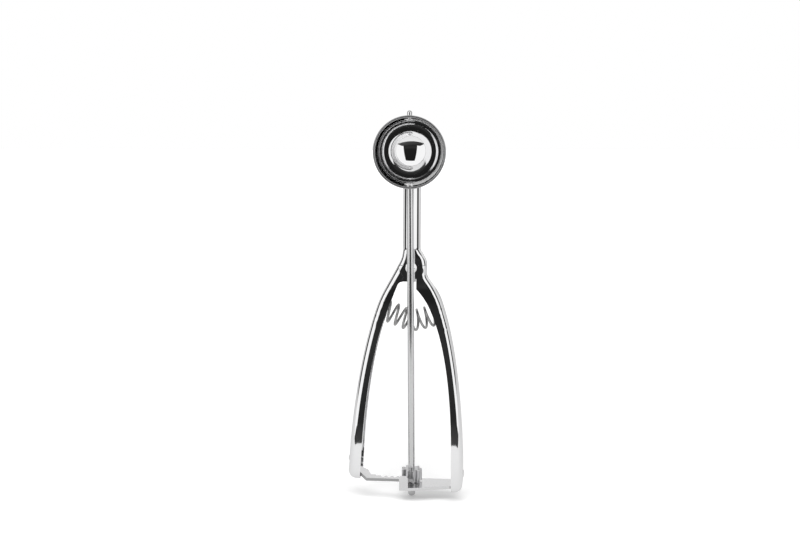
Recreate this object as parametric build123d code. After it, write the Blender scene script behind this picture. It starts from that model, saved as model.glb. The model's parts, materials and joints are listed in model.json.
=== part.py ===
"""Lever ice cream scoop: a hemispherical bowl on a formed steel frame, with a squeeze lever whose
rack turns a pinion, a shaft and the scraper blade inside the bowl.

Frame: millimetres, +Z up along the shaft, origin at the lower tip of the shaft's foot.
The bowl opens towards -Y, the fixed handle is on +X and the lever is on -X.
"""

from build123d import *
from math import acos, atan, atan2, cos, degrees, pi, radians, sin, sqrt, tan
import os

# ------------------------------------------------------------------ driving dimensions
# Heights above the foot tip
BOWL_HEIGHT = 209.0  # centre of the bowl
PIVOT_HEIGHT = 140.3  # pivot rivet
RACK_HEIGHT = 12.9  # middle of the rack at rest, when it is level
ARM_HEIGHT = 7.2  # underside of the base arm
PINION_TOP = 17.3

# Sheet of the pressed frame and lever
SHEET = 0.9
FIXED_EDGE_RADIUS = 3.1  # outside radius between web and flange
LEVER_EDGE_RADIUS = 3.7
FOOT_RADIUS = 4.6  # outside radius of a handle's lower corner, seen from the front

# Side view of the handles
PIVOT_DEPTH = 9.2  # middle of the head behind the shaft axis
HEAD_HALF_DEPTH = 5.3
GRIP_HALF_DEPTH = 7.8
FLARE_TOP = 9.0  # below the pivot, where the head starts to widen
FLARE_BOTTOM = 22.0  # below the pivot, where the full grip depth is reached
UPRIGHT_TOP = 5.5  # above the pivot, where the head starts to lean back
GRIP_DEPTH_AT_FLARE = 9.98  # middle of the grip behind the shaft axis at FLARE_BOTTOM
LEAN = 7.0  # degrees, grips lean forward going down, neck leans back going up

# Neck
NECK_DIAMETER = 10.6
NECK_WALL = 0.9
NECK_EASE = 11.6  # above the pivot, where the head has become round
NECK_END_DROP = 15.2  # rear end of the tube, below the centre of the bowl
NECK_END_ANGLE = 45.0  # degrees, slanting cut behind the bowl

# Head
KNEE_HEIGHT = 6.2  # above the pivot, where the left side of the neck turns outwards
SHOULDER_ANGLE = 29.0  # degrees from the shaft direction
HEAD_BULGE = 9.1  # reach of the rounded right side of the head
CHEEK_RADIUS = 7.0
NECK_STEP = 0.05  # the head stands this far inside the neck tube
JOINT_DROP = 0.5  # below the pivot, where the frame ends and the lever begins on the left
JOINT_GAP = 0.25
GUSSET_EDGE = 3.0  # inner edge of the fixed flange beside the pivot
GUSSET_DROP = 12.8

# Fixed handle, front view
FIXED_REACH = 31.2
FIXED_FOOT_WIDTH = 6.9
FIXED_FOOT_STRAIGHT = 16.0

# Lever, front view, at mid-travel, when its foot is upright
LEVER_REACH = 30.2
LEVER_BOTTOM = 11.4
LEVER_FOOT_WIDTH = 7.3
LEVER_FOOT_STRAIGHT = 16.0
EAR_RADIUS = 5.5
EAR_GAP = 0.1
EAR_DROP = 8.5
EAR_REACH = 2.6
JOGGLE_EDGE = 5.2

# Bowl
BOWL_RADIUS = 20.4
BOWL_WALL = 0.8
BOWL_LIP = 4.0
RIM_BEAD = 0.7  # radius of the rolled rim

# Shaft, foot and bearings
SHAFT_DIAMETER = 4.0
RUNNING_CLEARANCE = 0.05
FOOT_DIAMETER = 4.4
FOOT_LENGTH = 3.4
TENON_DIAMETER = 2.8
TENON_FLAT = 2.1
BUSH_WALL = 0.7
BUSH_FLANGE = 0.7
BUSH_FLANGE_WIDTH = 0.5
BOND_GAP = 0.01  # between faces that are brazed or riveted together
CLIP_THICKNESS = 0.6
CLIP_DIAMETER = 7.0
CLIP_GROOVE_DIAMETER = 3.2
CLIP_MOUTH = 2.6

# Rack and pinion
TOOTH_MODULE = 1.15
PINION_TEETH = 9
PRESSURE_ANGLE = 25.0
RACK_ADDENDUM = 0.92
PINION_ADDENDUM = 1.03
TOOTH_CLEARANCE = 0.24
BACKLASH = 0.2
RACK_THICKNESS = 1.7
RACK_SPINE = 2.7
RACK_PHASE = -0.5  # middle of the tooth nearest the shaft axis at rest
RACK_ROOT_START = 21.4  # left of the shaft axis at rest, end of the toothed edge
RACK_ROOT_STEP = 1.4  # the plain edge stands this far beyond the tooth tips
RACK_ROOT_LENGTH = 2.9  # plain edge before the root widens
RACK_RAMP_START = 26.8  # left of the shaft axis at rest
RACK_RAMP_ANGLE = 35.0
RACK_END = 1.8  # free end past the shaft axis at rest
RACK_TAB_HEIGHT = 8.5
RACK_EDGE_GAP = 0.4  # between the ramp's far edge and the lever's flange

# Base arm
ARM_THICKNESS = 1.9
ARM_END = 6.6  # reach past the shaft axis
ARM_REAR = 4.8
ARM_SHOULDER_GAP = 0.4  # between the arm's shoulder and the edge of the handle's flange
GUIDE_CLEARANCE = 0.25
GUIDE_WIDTH = 5.4
GUIDE_TOP = 15.8
ARM_TAB_HEIGHT = 13.0
ARM_NEAR_CUT = 1.6  # the near edge clears the front flange by this much more than the far edge
ARM_LEDGE = 2.4  # straight near edge right of the guide tab

# Rivets
PIVOT_RIVET_DIAMETER = 4.0
PIVOT_HEAD_DIAMETER = 6.8
PIVOT_HEAD_HEIGHT = 1.2
SMALL_RIVET_DIAMETER = 2.4
SMALL_HEAD_DIAMETER = 4.4
SMALL_HEAD_HEIGHT = 0.8

# Sweep blade
BLADE_CLEARANCE = 0.3
BLADE_THICKNESS = 0.9
BLADE_WIDTH = 6.0
BLADE_HUB_DIAMETER = 6.4
BLADE_HUB_SEAT = 0.6  # the flat hubs stand this far in from the bowl wall
BLADE_REST_ANGLE = 7.0
SWEEP_ANGLE = 166.0
TOP_PIN_DIAMETER = 2.4
TOP_NUB_DIAMETER = 3.1
TOP_NUB_HEIGHT = 3.2

# Spring
SPRING_WIRE = 1.35
SPRING_DIAMETER = 13.3  # outside
SPRING_TURNS = 8.5
SPRING_PHASE = 210.0  # degrees, where the coil starts
SPRING_BOW = 0.68  # how far the ends hold their direction, as a share of the span
SPRING_END_TURNS = 0.8  # closed turns at each end
SPRING_SEAT_GAP = 0.04
SPRING_DROP = 25.2  # below the pivot, where its lever end sits
SPRING_TILT = 2.4  # the other end sits this much lower
STUD_DIAMETER = 4.0
STUD_LENGTH = 5.0
STUD_SEAT_DIAMETER = 12.0
STUD_SEAT_THICKNESS = 1.55
STUD_FIT = 0.4  # radial room between the stud's boss and the coil

# ------------------------------------------------------------------ worked-out sizes
SHAFT_R = SHAFT_DIAMETER / 2
NECK_R = NECK_DIAMETER / 2
NECK_END = BOWL_HEIGHT - PIVOT_HEIGHT - NECK_END_DROP
PITCH_R = TOOTH_MODULE * PINION_TEETH / 2
RACK_RADIUS = PIVOT_HEIGHT - RACK_HEIGHT
LEVER_TRAVEL = degrees(atan(radians(SWEEP_ANGLE) * PITCH_R / RACK_RADIUS))
HALF_TRAVEL = LEVER_TRAVEL / 2
FIXED_BOTTOM = ARM_HEIGHT - SHEET
ARM_TOP = ARM_HEIGHT + ARM_THICKNESS
BUSH_R = SHAFT_R + RUNNING_CLEARANCE + BUSH_WALL
BUSH_FLANGE_R = BUSH_R + BUSH_FLANGE_WIDTH
RACK_TIP_Y = -(PITCH_R - RACK_ADDENDUM)
RACK_ROOT_Y = -(PITCH_R + PINION_ADDENDUM + TOOTH_CLEARANCE)
RACK_BACK_Y = RACK_ROOT_Y - RACK_SPINE
GUIDE_BACK_Y = RACK_BACK_Y - GUIDE_CLEARANCE
GUIDE_FRONT_Y = GUIDE_BACK_Y - ARM_THICKNESS
BLADE_R = BOWL_RADIUS - BOWL_WALL - BLADE_CLEARANCE
HUB_SEAT_R = BOWL_RADIUS - BOWL_WALL - BLADE_HUB_SEAT

PIVOT_FRONT = Plane(origin=(0, PIVOT_DEPTH, PIVOT_HEIGHT), x_dir=(1, 0, 0), z_dir=(0, -1, 0))
FAR = 60.0  # past every outline that it trims
DEEP = 30.0  # past the handles' depth, each way


# ------------------------------------------------------------------ small helpers
def at_rest(x, z):
    """A point of the lever drawn at mid-travel, turned back to rest about the pivot."""
    turn = radians(HALF_TRAVEL)
    return (x * cos(turn) + z * sin(turn), -x * sin(turn) + z * cos(turn))


def heading(angle):
    """Unit direction at an angle in degrees from straight down, positive towards +X."""
    return (sin(radians(angle)), -cos(radians(angle)))


def joined_arcs(start, start_angle, end, end_angle):
    """Two tangent arcs from one point and heading to another."""
    (ax, ay), (bx, by) = heading(start_angle), heading(end_angle)
    vx, vy = end[0] - start[0], end[1] - start[1]
    spread = 2 * (1 - ax * bx - ay * by)
    lead = vx * (ax + bx) + vy * (ay + by)
    reach = vx * vx + vy * vy
    if spread < 1e-9:
        d = reach / (2 * lead)
    else:
        d = (sqrt(lead * lead + spread * reach) - lead) / spread
    meet = ((start[0] + end[0] + d * (ax - bx)) / 2, (start[1] + end[1] + d * (ay - by)) / 2)
    mx, my = end[0] - d * bx - start[0] - d * ax, end[1] - d * by - start[1] - d * ay
    return bowed(start, meet, (ax, ay)) + bowed(meet, end, (mx, my))


def bowed(start, end, direction):
    """An arc with a given starting direction, or a line where the arc would be straight."""
    vx, vy = end[0] - start[0], end[1] - start[1]
    off = abs(vx * direction[1] - vy * direction[0]) / sqrt(direction[0] ** 2 + direction[1] ** 2)
    if off < 1e-5:
        return Line(start, end)
    return TangentArc(start, end, tangent=(direction[0], direction[1]))


def swept_curve(start, start_angle, end, end_angle, pull, pieces=3):
    """A smooth handle edge between two points and headings, drawn in tangent arcs."""
    span = sqrt((end[0] - start[0]) ** 2 + (end[1] - start[1]) ** 2)
    (ax, ay), (bx, by) = heading(start_angle), heading(end_angle)
    corners = [
        start,
        (start[0] + pull[0] * span * ax, start[1] + pull[0] * span * ay),
        (end[0] - pull[1] * span * bx, end[1] - pull[1] * span * by),
        end,
    ]

    def blend(t):
        weights = ((1 - t) ** 3, 3 * t * (1 - t) ** 2, 3 * t * t * (1 - t), t**3)
        rates = (-((1 - t) ** 2), (1 - t) ** 2 - 2 * t * (1 - t), 2 * t * (1 - t) - t * t, t * t)
        x, y = (sum(w * c[i] for w, c in zip(weights, corners)) for i in (0, 1))
        dx, dy = (sum(w * c[i] for w, c in zip(rates, corners)) for i in (0, 1))
        return (x, y), degrees(atan2(dx, -dy))

    knots = [blend((i / pieces) ** 1.2) for i in range(pieces + 1)]
    curve = None
    for (p, p_angle), (q, q_angle) in zip(knots, knots[1:]):
        bow = joined_arcs(p, p_angle, q, q_angle)
        curve = bow if curve is None else curve + bow
    return curve


def through_front(face, depth=DEEP):
    """A front-view outline about the pivot, carried through the depth both ways."""
    return extrude(PIVOT_FRONT * face, amount=depth, both=True)


def side_profile():
    """Side view of head and grips as a face in (Y, height about the pivot)."""
    lean = tan(radians(LEAN))
    head_top, straight_top = 16.0, UPRIGHT_TOP
    bottom = -(PIVOT_HEIGHT + 5)

    def edge(sign):
        head_y = PIVOT_DEPTH + sign * HEAD_HALF_DEPTH
        grip_y = GRIP_DEPTH_AT_FLARE + sign * GRIP_HALF_DEPTH
        top = (head_y + (head_top - straight_top) * lean, head_top)
        foot = (grip_y + (bottom + FLARE_BOTTOM) * lean, bottom)
        bend_end = (head_y + 1.5 * lean, straight_top + 1.5)
        upper = Line(top, bend_end) + joined_arcs(bend_end, -LEAN, (head_y, straight_top - 1.5), 0)
        upper = upper + Line((head_y, straight_top - 1.5), (head_y, -FLARE_TOP))
        flare = joined_arcs((head_y, -FLARE_TOP), 0, (grip_y, -FLARE_BOTTOM), -LEAN)
        return top, foot, upper + flare + Line((grip_y, -FLARE_BOTTOM), foot)

    front_top, front_foot, front = edge(-1)
    rear_top, rear_foot, rear = edge(1)
    return make_face(front + rear + Line(front_top, rear_top) + Line(front_foot, rear_foot))


def side_block(face):
    """The side view carried across the whole width."""
    plane = Plane(origin=(0, 0, PIVOT_HEIGHT), x_dir=(0, 1, 0), z_dir=(1, 0, 0))
    return extrude(plane * face, amount=FAR, both=True)


def rim_edges(solid, side, rim, inset):
    """Edges between the flanges and the web: on the side view's outline, along the rim."""
    side_line, rim_line = side.face().outer_wire(), rim
    found = []
    for edge in solid.edges():
        middle = edge @ 0.5
        height = middle.Z - PIVOT_HEIGHT
        off_side = side_line.distance_to(Vector(middle.Y, height, 0))
        off_rim = abs(rim_line.distance_to(Vector(middle.X, height, 0)) - inset)
        if off_side < 0.01 and off_rim < 0.02 and abs(edge.tangent_at(0.5).Y) < 0.9:
            found.append(edge)
    return found


def pressed_channel(outline, rim, edge_radius):
    """A pressed channel: the outline's rim becomes a web, rounded into front and rear flanges."""
    side = side_profile()
    outer = through_front(outline) & side_block(side)
    outer = fillet(rim_edges(outer, side, rim, 0), edge_radius)
    inner_side = offset(side, -SHEET)
    inner = through_front(offset(outline, -SHEET)) & side_block(inner_side)
    inner = fillet(rim_edges(inner, inner_side, rim, SHEET), edge_radius - SHEET)
    return outer, inner


def shoulder_x(z):
    """The left shoulder line that runs from the neck into the lever."""
    return -NECK_R - (KNEE_HEIGHT - z) * tan(radians(SHOULDER_ANGLE))


def rivet(diameter, head_diameter, head_height, length, tail_height):
    """A rivet along +Z: domed head below z=0, shank of the given length, upset tail above it."""
    r, head_r = diameter / 2, head_diameter / 2

    def dome(height):
        sphere_r = (head_r**2 + height**2) / (2 * height)
        ball = Pos(0, 0, height - sphere_r) * Sphere(sphere_r)
        return ball & Pos(0, 0, height / 2) * Box(3 * head_r, 3 * head_r, height)

    shank = Pos(0, 0, length / 2) * Cylinder(r, length)
    head = Rot(180, 0, 0) * dome(head_height)
    tail = Pos(0, 0, length) * dome(tail_height)
    return shank + head + tail


# ------------------------------------------------------------------ frame
def fixed_outline():
    """Front view of the fixed handle and head, with its rim."""
    bottom = FIXED_BOTTOM - PIVOT_HEIGHT
    foot_top = bottom + FIXED_FOOT_STRAIGHT
    side = NECK_R - NECK_STEP
    top, low = 13.0, -6.0
    waist = (8.9, -3.4)
    hip = (12.3, -10.6)
    bend = 4.0
    knee_start = (-side, KNEE_HEIGHT + bend)
    knee_end = (shoulder_x(KNEE_HEIGHT - bend), KNEE_HEIGHT - bend)
    left = Line((-side, top), knee_start) + joined_arcs(knee_start, 0, knee_end, -SHOULDER_ANGLE)
    left = left + Line(knee_end, (shoulder_x(low), low))
    head = Line((side, top), (side, 10.4))
    head = head + joined_arcs((side, 10.4), 0, (6.5, 8.2), 42)
    head = head + joined_arcs((6.5, 8.2), 42, (HEAD_BULGE, -0.2), 0)
    head = head + joined_arcs((HEAD_BULGE, -0.2), 0, waist, -2)
    head = head + joined_arcs(waist, -2, hip, 33)
    grip = swept_curve(hip, 33, (FIXED_REACH, foot_top), 0, (0.26, 0.16))
    foot = Line((FIXED_REACH, foot_top), (FIXED_REACH, bottom + FOOT_RADIUS))
    corner = CenterArc((FIXED_REACH - FOOT_RADIUS, bottom + FOOT_RADIUS), FOOT_RADIUS, 0, -90)
    base = Line((FIXED_REACH - FOOT_RADIUS, bottom), (0, bottom))
    back = Polyline((0, bottom), (0, -40), (shoulder_x(low), low))
    cap = Line((-side, top), (side, top))
    rim = left + head + grip + foot + corner + base
    return make_face(rim + back + cap), rim


def fixed_keep():
    """Front view of what is left of the pressed blank: neck side, cheek disc and grip flange."""
    bottom = FIXED_BOTTOM - PIVOT_HEIGHT
    inner_x = FIXED_REACH - FIXED_FOOT_WIDTH
    upper = Pos(0, FAR / 2 - JOINT_DROP) * Rectangle(2 * FAR, FAR)
    cheek = Circle(CHEEK_RADIUS)
    start = (GUSSET_EDGE, -GUSSET_DROP)
    inner = swept_curve(start, 45, (inner_x, bottom + FIXED_FOOT_STRAIGHT), 0, (0.3, 0.1))
    sides = Polyline(
        (inner_x, bottom + FIXED_FOOT_STRAIGHT),
        (inner_x, bottom - FOOT_RADIUS),
        (FAR, bottom - FOOT_RADIUS),
        (FAR, 0),
        (GUSSET_EDGE, 0),
        start,
    )
    return upper + cheek + make_face(inner + sides)


def neck_place(height):
    """A point on the neck's axis at a height above the pivot, looking up the neck."""
    lean = radians(LEAN)
    y = PIVOT_DEPTH + (height - UPRIGHT_TOP) * tan(lean)
    return Plane(origin=(0, y, PIVOT_HEIGHT + height), x_dir=(1, 0, 0), z_dir=(0, sin(lean), cos(lean)))


def neck_rod(radius, start, inset):
    """A rod up the neck, ended by the slanting cut behind the bowl, less an inset."""
    rod = extrude(neck_place(start) * Circle(radius), amount=BOWL_HEIGHT - PIVOT_HEIGHT - start)
    reach = 2 * FAR
    tilt = radians(NECK_END_ANGLE)
    corner = neck_place(NECK_END).origin + Vector(0, NECK_R, 0)
    cut = Plane(origin=corner, x_dir=(1, 0, 0), z_dir=(0, sin(tilt), cos(tilt)))
    return rod & (cut.location * Pos(0, 0, -reach / 2 - inset) * Box(reach, reach, reach))


def neck_trim(inset):
    """Cone that eases the square head into the round neck, with everything below it."""
    low, high = 1.0, NECK_EASE + 2
    slope = 0.5
    inset_r = inset * sqrt(1 + slope**2)

    def radius(height):
        return NECK_R - 2 * NECK_STEP + (NECK_EASE - height) * slope - inset_r

    cone = neck_place(low).location * Pos(0, 0, (high - low) / 2) * Cone(radius(low), radius(high), high - low)
    below = Pos(0, 0, (PIVOT_HEIGHT + low) / 2 + 0.3) * Box(2 * FAR, 2 * FAR, PIVOT_HEIGHT + low)
    return cone + below


def fixed_handle():
    """Neck, head and fixed handle, pressed from one sheet and closed into a tube at the neck."""
    outline, rim = fixed_outline()
    outer, inner = pressed_channel(outline, rim, FIXED_EDGE_RADIUS)
    outer = (outer & neck_trim(0)) + neck_rod(NECK_R, 9.0, 0)
    inner = (inner & neck_trim(SHEET)) + neck_rod(NECK_R - NECK_WALL, 5.0, NECK_WALL)
    shell = (outer - inner) & through_front(fixed_keep())
    shell = shell - Pos(0, 0, BOWL_HEIGHT) * Sphere(BOWL_RADIUS)
    shell = shell - through_front(Circle(PIVOT_RIVET_DIAMETER / 2))
    for place in arm_rivet_places():
        shell = shell - place * Cylinder(SMALL_RIVET_DIAMETER / 2, 8)
    return shell


def grip_depth(height):
    """Middle of the grips behind the shaft axis, at a height above the foot."""
    return GRIP_DEPTH_AT_FLARE - (PIVOT_HEIGHT - FLARE_BOTTOM - height) * tan(radians(LEAN))


def arm_edges():
    """Near and far edge of the arm where it enters the fixed handle."""
    inside = GRIP_HALF_DEPTH - FIXED_EDGE_RADIUS
    middle = grip_depth(ARM_TOP)
    return middle - inside + ARM_NEAR_CUT, middle + inside


def arm_rivet_places():
    """Places of the rivets that hold the arm's tab to the fixed handle's web, axis along +X."""
    near, far = arm_edges()
    z = ARM_HEIGHT + ARM_TAB_HEIGHT - SMALL_HEAD_DIAMETER
    side = (far - near) / 2 - SMALL_HEAD_DIAMETER / 2
    return [Pos(FIXED_REACH - SHEET, (near + far) / 2 + s * side, z) * Rot(0, 90, 0) for s in (-1, 1)]


def base_arm():
    """Arm from the fixed handle to the shaft, with the folded guide tab and the riveted end tab."""
    t = ARM_THICKNESS
    near, far = arm_edges()
    web = FIXED_REACH - SHEET
    bend = FOOT_RADIUS - SHEET
    mouth = FIXED_REACH - FIXED_FOOT_WIDTH
    profile = make_face(
        Line((-ARM_END, ARM_HEIGHT), (web - bend, ARM_HEIGHT))
        + CenterArc((web - bend, ARM_HEIGHT + bend), bend, -90, 90)
        + Polyline(
            (web, ARM_HEIGHT + bend),
            (web, ARM_HEIGHT + ARM_TAB_HEIGHT),
            (web - t, ARM_HEIGHT + ARM_TAB_HEIGHT),
            (web - t, ARM_HEIGHT + bend),
        )
        + CenterArc((web - bend, ARM_HEIGHT + bend), bend - t, 0, -90)
        + Polyline((web - bend, ARM_TOP), (-ARM_END, ARM_TOP), (-ARM_END, ARM_HEIGHT))
    )
    strip = extrude(Plane.XZ * profile, amount=FAR, both=True)
    shoulder = mouth - ARM_SHOULDER_GAP
    plan = make_face(
        Polyline(
            (-ARM_END, GUIDE_FRONT_Y),
            (-ARM_END + GUIDE_WIDTH + ARM_LEDGE, GUIDE_FRONT_Y),
            (shoulder, near),
            (web + 1, near),
            (web + 1, far),
            (shoulder, far),
            (shoulder, ARM_REAR),
            (-ARM_END, ARM_REAR),
            (-ARM_END, GUIDE_FRONT_Y),
        )
    )
    rounded = plan.vertices().filter_by(lambda v: v.X < -ARM_END + 0.01 and v.Y > 0)
    plan = fillet(rounded, min(ARM_END, ARM_REAR) * 0.9)
    arm = strip & extrude(plan, amount=FAR)
    guide_height = GUIDE_TOP - ARM_HEIGHT
    guide = Pos(-ARM_END + GUIDE_WIDTH / 2, (GUIDE_FRONT_Y + GUIDE_BACK_Y) / 2, ARM_HEIGHT + guide_height / 2)
    guide = guide * Box(GUIDE_WIDTH, t, guide_height)
    guide = fillet(guide.edges().filter_by(Axis.Y).group_by(Axis.Z)[-1], t / 2)
    arm = arm + guide
    arm = arm - Pos(0, 0, ARM_HEIGHT) * Cylinder(BUSH_R, 4 * t)
    for place in arm_rivet_places():
        arm = arm - place * Cylinder(SMALL_RIVET_DIAMETER / 2, 8)
    return arm


def arm_rivets():
    """Two rivets through the fixed handle's web and the arm's end tab, heads outside."""
    grip = SHEET + ARM_THICKNESS
    one = rivet(SMALL_RIVET_DIAMETER, SMALL_HEAD_DIAMETER, SMALL_HEAD_HEIGHT, grip, 0.6)
    return Compound([place * Pos(0, 0, SHEET) * Rot(180, 0, 0) * one for place in arm_rivet_places()])


def bush_body(low, high, flange_low, flange_high):
    """Bush between two heights, with its flange between two more, bored to run on the shaft."""
    body = Pos(0, 0, (low + high) / 2) * Cylinder(BUSH_R, high - low)
    flange = Pos(0, 0, (flange_low + flange_high) / 2) * Cylinder(BUSH_FLANGE_R, flange_high - flange_low)
    return body + flange - Pos(0, 0, (low + high) / 2) * Cylinder(SHAFT_R + RUNNING_CLEARANCE, 4 * BOWL_RADIUS)


def base_bush():
    """Bush in the arm, flange on top as the pinion's seat."""
    return bush_body(ARM_HEIGHT, ARM_TOP, ARM_TOP, ARM_TOP + BUSH_FLANGE)


def bowl_form(radius):
    """Solid hemisphere with its lip, opening towards -Y."""
    section = make_face(
        Line((radius, -BOWL_LIP), (radius, 0))
        + CenterArc((0, 0), radius, 0, 90)
        + Polyline((0, radius), (0, -BOWL_LIP), (radius, -BOWL_LIP))
    )
    return Pos(0, 0, BOWL_HEIGHT) * revolve(section, Axis.Y)


def bowl():
    """Hemispherical bowl with a short lip and a rolled rim, opening towards -Y."""
    inner_r = BOWL_RADIUS - BOWL_WALL
    bead = revolve(Pos(inner_r + RIM_BEAD, -BOWL_LIP) * Circle(RIM_BEAD), Axis.Y)
    shell = bowl_form(BOWL_RADIUS) - bowl_form(inner_r) + Pos(0, 0, BOWL_HEIGHT) * bead
    shell = shell - Pos(0, 0, BOWL_HEIGHT - BOWL_RADIUS) * Cylinder(BUSH_R + BOND_GAP, BOWL_RADIUS)
    top_hole = Cylinder(TOP_PIN_DIAMETER / 2 + RUNNING_CLEARANCE, BOWL_RADIUS)
    return shell - Pos(0, 0, BOWL_HEIGHT + BOWL_RADIUS) * top_hole


def bowl_bush():
    """Bush in the lower wall of the bowl, with a flange shaped to the outside of the bowl."""
    outside = BOWL_HEIGHT - BOWL_RADIUS
    flange_low = outside - BUSH_FLANGE / 2
    top = BOWL_HEIGHT - HUB_SEAT_R - RUNNING_CLEARANCE
    bush = bush_body(flange_low, top, flange_low, outside + BUSH_FLANGE)
    keep_bore = Pos(0, 0, outside) * Cylinder(BUSH_R, BOWL_RADIUS)
    return bush - (bowl_form(BOWL_RADIUS + BOND_GAP) - keep_bore)


# ------------------------------------------------------------------ pivot
def pivot_rivet():
    """Rivet through both cheeks of the head."""
    length = 2 * HEAD_HALF_DEPTH
    body = rivet(PIVOT_RIVET_DIAMETER, PIVOT_HEAD_DIAMETER, PIVOT_HEAD_HEIGHT, length, PIVOT_HEAD_HEIGHT)
    return Pos(0, PIVOT_DEPTH - HEAD_HALF_DEPTH, PIVOT_HEIGHT) * Rot(-90, 0, 0) * body


def pivot_spacer():
    """Sleeve on the rivet between the lever's ears, which keeps the cheeks apart."""
    length = 2 * (HEAD_HALF_DEPTH - 2 * SHEET - EAR_GAP - RUNNING_CLEARANCE)
    sleeve = Cylinder(PIVOT_RIVET_DIAMETER / 2 + SHEET, length) - Cylinder(PIVOT_RIVET_DIAMETER / 2, 2 * length)
    return Pos(0, PIVOT_DEPTH, PIVOT_HEIGHT) * Rot(90, 0, 0) * sleeve


# ------------------------------------------------------------------ lever
def lever_outline():
    """Front view of the lever at rest, with its rim."""
    bottom = LEVER_BOTTOM - PIVOT_HEIGHT
    top, bend = 13.0, -13.4
    foot_top = at_rest(-LEVER_REACH, bottom + LEVER_FOOT_STRAIGHT)
    corner_top = at_rest(-LEVER_REACH, bottom + FOOT_RADIUS)
    corner_centre = at_rest(-LEVER_REACH + FOOT_RADIUS, bottom + FOOT_RADIUS)
    corner_bottom = at_rest(-LEVER_REACH + FOOT_RADIUS, bottom)
    base_end = at_rest(0, bottom)
    shoulder = Line((shoulder_x(top), top), (shoulder_x(bend), bend))
    grip = swept_curve((shoulder_x(bend), bend), -SHOULDER_ANGLE, foot_top, -HALF_TRAVEL, (0.22, 0.3))
    foot = Line(foot_top, corner_top)
    corner = CenterArc(corner_centre, FOOT_RADIUS, 180 - HALF_TRAVEL, 90)
    base = Line(corner_bottom, base_end)
    back = Polyline(base_end, (8, -40), (8, top), (shoulder_x(top), top))
    rim = shoulder + grip + foot + corner + base
    return make_face(rim + back), rim


def lever_keep():
    """Front view of the lever's flanges: clear of the cheek disc, open on the inside."""
    bottom = LEVER_BOTTOM - PIVOT_HEIGHT
    inner_x = -(LEVER_REACH - LEVER_FOOT_WIDTH)
    foot_top = at_rest(inner_x, bottom + LEVER_FOOT_STRAIGHT)
    foot = at_rest(inner_x, bottom - FOOT_RADIUS)
    throat = (-JOGGLE_EDGE, -EAR_DROP)
    start = (-8.8, -12.0)
    round_in = Bezier(throat, (-7.3, -EAR_DROP), (-8.0, -10.0), start)
    inner = swept_curve(start, -22, foot_top, -HALF_TRAVEL, (0.155, 0.6))
    top = -JOINT_DROP - JOINT_GAP
    sides = Polyline(foot_top, foot, (-FAR, foot[1]), (-FAR, top), (-JOGGLE_EDGE, top), throat)
    return make_face(round_in + inner + sides) - Circle(CHEEK_RADIUS + JOINT_GAP)


def ear_outline():
    """Front view of the lever's ears, which turn between the cheeks."""
    left = shoulder_x(-EAR_DROP)
    width = EAR_REACH - left
    height = EAR_DROP - JOINT_DROP - JOINT_GAP
    return Circle(EAR_RADIUS) + Pos(left + width / 2, -EAR_DROP + height / 2) * Rectangle(width, height)


def lever_handle():
    """Squeeze lever, pressed from one sheet, with ears joggled inwards to turn between the cheeks."""
    outline, rim = lever_outline()
    outer, inner = pressed_channel(outline, rim, LEVER_EDGE_RADIUS)
    shell = (outer - inner) & through_front(lever_keep())
    cheek_inside = HEAD_HALF_DEPTH - SHEET
    ear_outside = cheek_inside - EAR_GAP
    ear_inside = ear_outside - SHEET
    ears = through_front(ear_outline(), ear_outside) - through_front(ear_outline(), ear_inside)
    left = shoulder_x(-EAR_DROP)
    width = -JOGGLE_EDGE - left
    height = EAR_DROP - JOINT_DROP - JOINT_GAP
    joggle_face = (Pos(left + width / 2, -EAR_DROP + height / 2) * Rectangle(width, height)) & lever_keep()
    joggle = through_front(joggle_face, cheek_inside + SHEET / 2) - through_front(joggle_face, ear_inside)
    lever = shell + ((ears + joggle) & inner)
    lever = lever - through_front(Circle(PIVOT_RIVET_DIAMETER / 2 + RUNNING_CLEARANCE))
    for place in rack_rivet_places():
        lever = lever - place * Cylinder(SMALL_RIVET_DIAMETER / 2, 8)
    return lever


# ------------------------------------------------------------------ rack and pinion
def rack_tooth_space():
    """One tooth gap of the rack, centred on x=0, open towards the pinion."""
    half_pitch = pi * TOOTH_MODULE / 4
    slope = tan(radians(PRESSURE_ANGLE))
    over = RACK_ROOT_STEP + 0.5
    root = half_pitch + BACKLASH / 2 - (-PITCH_R - RACK_ROOT_Y) * slope
    mouth = half_pitch + BACKLASH / 2 + (RACK_TIP_Y + over + PITCH_R) * slope
    return make_face(
        Polyline(
            (-root, RACK_ROOT_Y),
            (root, RACK_ROOT_Y),
            (mouth, RACK_TIP_Y + over),
            (-mouth, RACK_TIP_Y + over),
            (-root, RACK_ROOT_Y),
        )
    )


def lever_web_x(height, inset):
    """X of a face inside the lever's straight foot at rest, this far in from its outer face."""
    half = radians(HALF_TRAVEL)
    return -(LEVER_REACH - inset) / cos(half) + (height - PIVOT_HEIGHT) * tan(half)


def ramp_meets_web(start_height, inset):
    """Where a ramp that leaves a height at RACK_RAMP_START reaches a face inside the lever."""
    rise, lean = tan(radians(RACK_RAMP_ANGLE)), tan(radians(HALF_TRAVEL))
    at_start = start_height - RACK_RAMP_START * rise
    x = (lever_web_x(at_start, inset)) / (1 + rise * lean)
    return x, at_start - x * rise


def rack_tab_edges():
    """Near and far edge of the rack's tab, between the lever's rounded flanges."""
    inside = GRIP_HALF_DEPTH - LEVER_EDGE_RADIUS
    _, low = ramp_meets_web(RACK_HEIGHT - RACK_THICKNESS / 2, SHEET)
    return grip_depth(low + RACK_TAB_HEIGHT) - inside, grip_depth(low) + inside


def along_tab(point, distance, inset=0.0):
    """A point up the rack's tab from another, along the lever's leaning web."""
    half = radians(HALF_TRAVEL)
    x, z = point
    return (x + distance * sin(half) + inset * cos(half), z + distance * cos(half) - inset * sin(half))


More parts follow.
